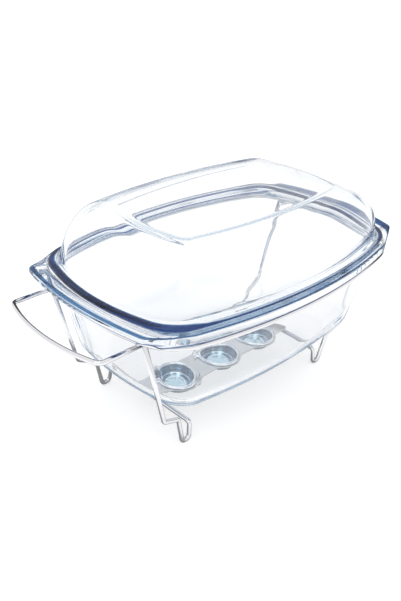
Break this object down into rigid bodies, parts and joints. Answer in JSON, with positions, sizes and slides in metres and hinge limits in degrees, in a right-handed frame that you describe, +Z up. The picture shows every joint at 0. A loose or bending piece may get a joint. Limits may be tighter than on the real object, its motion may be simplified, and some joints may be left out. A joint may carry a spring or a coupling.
{
  "type": "tealight food warmer",
  "caption": "Rectangular glass roaster with a lift-off domed glass lid, standing in a chromed wire frame over a slide-out strip of tealight cups.",
  "frame": {"origin": "centre of the overall box on the plane that the four foot loops stand on", "axes": "+X along the dish towards one handle, +Y across it, +Z up"},
  "size_m": [0.4354, 0.223, 0.2034],
  "materials": {
    "frame_wire": "polished chromed steel wire",
    "dish_glass": "clear heat-proof glass, blue towards its edges",
    "lid_glass": "clear heat-proof glass, blue towards its edges",
    "strip_steel": "polished plated steel sheet",
    "cup_steel": "bright pressed steel with a blue cast"
  },
  "bodies": {
    "stand": {"support_ring": "frame_wire", "handle_left": "frame_wire", "handle_right": "frame_wire", "end_frame_left": "frame_wire", "end_frame_right": "frame_wire"},
    "dish": {"glass_dish": "dish_glass"},
    "lid": {"glass_lid": "lid_glass"},
    "strip": {"tealight_strip": "strip_steel"},
    "cup_left": {"tealight_cup_left": "cup_steel"},
    "cup_middle": {"tealight_cup_middle": "cup_steel"},
    "cup_right": {"tealight_cup_right": "cup_steel"}
  },
  "joints": [
    {"name": "dish_lift", "type": "slide", "parent": "stand", "child": "dish", "axis": [0, 0, 1], "range_m": [0, 0.11]},
    {"name": "lid_lift", "type": "slide", "parent": "dish", "child": "lid", "axis": [0, 0, 1], "range_m": [0, 0.12]},
    {"name": "strip_slide", "type": "slide", "parent": "stand", "child": "strip", "axis": [0, 1, 0], "range_m": [-0.13, 0.13]},
    {"name": "cup_left_lift", "type": "slide", "parent": "strip", "child": "cup_left", "axis": [0, 0, 1], "range_m": [0, 0.02]},
    {"name": "cup_middle_lift", "type": "slide", "parent": "strip", "child": "cup_middle", "axis": [0, 0, 1], "range_m": [0, 0.02]},
    {"name": "cup_right_lift", "type": "slide", "parent": "strip", "child": "cup_right", "axis": [0, 0, 1], "range_m": [0, 0.02]}
  ]
}
